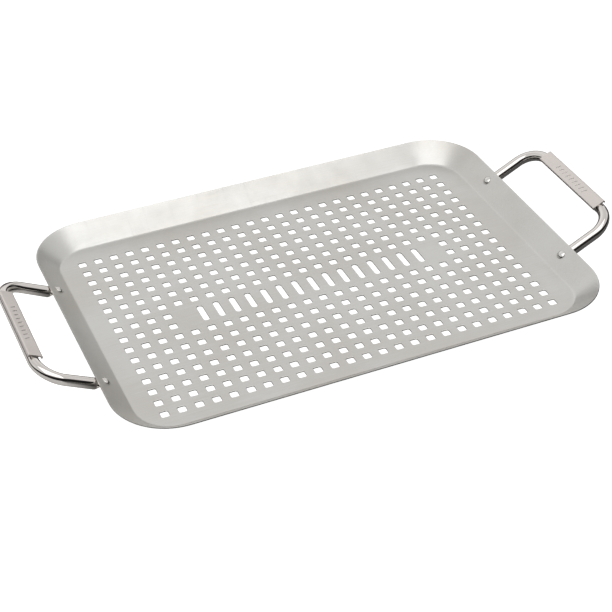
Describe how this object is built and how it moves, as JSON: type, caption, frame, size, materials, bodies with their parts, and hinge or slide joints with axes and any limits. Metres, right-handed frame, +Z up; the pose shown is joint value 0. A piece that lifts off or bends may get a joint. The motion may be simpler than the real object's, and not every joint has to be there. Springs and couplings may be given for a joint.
{
  "type": "grill basket",
  "caption": "Shallow perforated stainless steel tray with sloping walls and a riveted bent tube handle with a flat grip at each end, for cooking small food on a grill",
  "frame": {"origin": "middle of the tray's flat underside, at the bottom of the object", "axes": "+X along the long side towards the right handle, +Y towards the back long side, +Z up out of the tray"},
  "size_m": [0.4934, 0.2794, 0.0378],
  "materials": {
    "satin_steel": "satin stainless sheet with a faint grain",
    "polished_steel": "mirror-polished stainless tube",
    "brushed_plate": "fine brushed stainless, slightly warm",
    "rivet_steel": "smooth tumbled stainless"
  },
  "bodies": {
    "root": {"pan": "satin_steel", "handle_left": "polished_steel", "handle_right": "polished_steel", "grip_saddle_left": "brushed_plate", "grip_saddle_right": "brushed_plate", "rivet_left_front": "rivet_steel", "rivet_left_back": "rivet_steel", "rivet_right_front": "rivet_steel", "rivet_right_back": "rivet_steel"}
  },
  "joints": []
}
